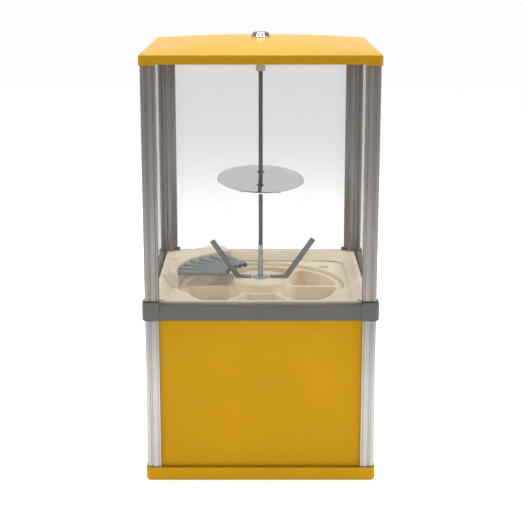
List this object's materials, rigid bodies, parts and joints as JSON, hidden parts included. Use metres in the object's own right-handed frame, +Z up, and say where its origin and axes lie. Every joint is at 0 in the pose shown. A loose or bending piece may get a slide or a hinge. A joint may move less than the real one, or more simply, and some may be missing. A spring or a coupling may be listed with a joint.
{
  "type": "capsule toy vendor",
  "caption": "Countertop vendor: a clear hopper with a turning cup wheel, lift-off lid with lock, coin mechanism and chute door on a sheet cabinet.",
  "frame": {"origin": "on the floor at the middle of the base pan", "axes": "+Z up, +Y towards the operating front with the coin mechanism and the chute door, -Y towards the plain back, +X to the right as seen from the plain back"},
  "size_m": [0.319, 0.34, 0.604],
  "materials": {
    "yellow_enamel": "gloss yellow enamel on sheet steel",
    "post_aluminium": "satin anodised extrusion",
    "band_plastic": "moulded grey, fine texture",
    "window_clear": "clear, polished",
    "hopper_plastic": "moulded cream, satin",
    "wheel_plastic": "moulded cream, satin",
    "chute_plastic": "smooth moulded",
    "zinc_steel": "bright zinc plate",
    "screw_steel": "nickel plate",
    "mirror_steel": "mirror polished stainless steel",
    "lock_chrome": "bright chrome",
    "nickel_brass": "nickel plated brass",
    "cast_zinc": "as cast zinc alloy",
    "chromed_zinc": "polished chrome on casting",
    "black_rubber": "extruded",
    "black_plastic": "moulded black",
    "door_plastic": "moulded black, smooth",
    "acetal": "machined acetal",
    "blued_steel": "blued spring steel"
  },
  "bodies": {
    "cabinet": {"band_cap_back_left": "band_plastic", "band_cap_back_right": "band_plastic", "band_cap_front_left": "band_plastic", "band_cap_front_right": "band_plastic", "band_strip_back": "band_plastic", "band_strip_front": "band_plastic", "band_strip_left": "band_plastic", "band_strip_right": "band_plastic", "base_pan": "yellow_enamel", "centre_rod": "zinc_steel", "chute": "chute_plastic", "coin_body": "cast_zinc", "coin_box": "chute_plastic", "coin_plate": "chromed_zinc", "disc_clips": "blued_steel", "door_frame": "black_plastic", "door_pin": "zinc_steel", "hopper_screws": "screw_steel", "hopper_tray": "hopper_plastic", "lower_post_back_left": "post_aluminium", "lower_post_back_right": "post_aluminium", "lower_post_front_left": "post_aluminium", "lower_post_front_right": "post_aluminium", "panel_back": "yellow_enamel", "panel_front": "yellow_enamel", "panel_left": "yellow_enamel", "panel_right": "yellow_enamel", "plate_screws": "screw_steel", "rod_anchor": "cast_zinc", "rod_sleeve": "zinc_steel", "rod_washer": "zinc_steel", "spring_housing": "hopper_plastic", "springs": "zinc_steel", "tray_gasket": "black_rubber", "upper_post_back_left": "post_aluminium", "upper_post_back_right": "post_aluminium", "upper_post_front_left": "post_aluminium", "upper_post_front_right": "post_aluminium", "window_back": "window_clear", "window_clips": "black_plastic", "window_front": "window_clear", "window_left": "window_clear", "window_right": "window_clear"},
    "lid_group": {"lid": "yellow_enamel", "lock_bezel": "lock_chrome", "lock_ferrule": "nickel_brass"},
    "lock": {"lock_barrel": "lock_chrome"},
    "disc": {"baffle_disc": "mirror_steel"},
    "wheel": {"product_wheel": "wheel_plastic", "wheel_bush": "acetal", "drive_ring": "acetal", "agitator_left": "zinc_steel", "agitator_right": "zinc_steel", "hub_screws": "screw_steel"},
    "drive": {"drive_shaft": "zinc_steel", "drive_pinion": "acetal", "coin_wheel": "cast_zinc", "coin_handle": "chromed_zinc"},
    "pawl": {"ratchet_pawl": "zinc_steel"},
    "door": {"chute_door": "door_plastic"}
  },
  "joints": [
    {"name": "lid_lift", "type": "slide", "parent": "cabinet", "child": "lid_group", "axis": [0, 0, 1], "range_m": [0, 0.08]},
    {"name": "lock_turn", "type": "hinge", "parent": "lid_group", "child": "lock", "pos_m": [0, 0, 0.5969], "axis": [0, 0, 1], "range_deg": [0, 90]},
    {"name": "disc_float", "type": "slide", "parent": "cabinet", "child": "disc", "axis": [0, 0, 1], "range_m": [0, 0.008]},
    {"name": "wheel_spin", "type": "hinge", "parent": "cabinet", "child": "wheel", "pos_m": [0, 0, 0.2352], "axis": [0, 0, 1], "continuous": true},
    {"name": "handle_turn", "type": "hinge", "parent": "cabinet", "child": "drive", "pos_m": [0, 0.1545, 0.17265], "axis": [0, 1, 0], "continuous": true},
    {"name": "pawl_swing", "type": "hinge", "parent": "cabinet", "child": "pawl", "pos_m": [0.02, 0.1436, 0.19315], "axis": [0, 1, 0], "range_deg": [-15, 15], "stiffness_Nm_per_rad": 0.02},
    {"name": "door_swing", "type": "hinge", "parent": "cabinet", "child": "door", "pos_m": [-0.06798, 0.1534, 0.098], "axis": [1, 0, 0], "range_deg": [0, 75]}
  ],
  "couplings": [
    {"joint": "handle_turn", "follows": "wheel_spin", "ratio": -6}
  ]
}
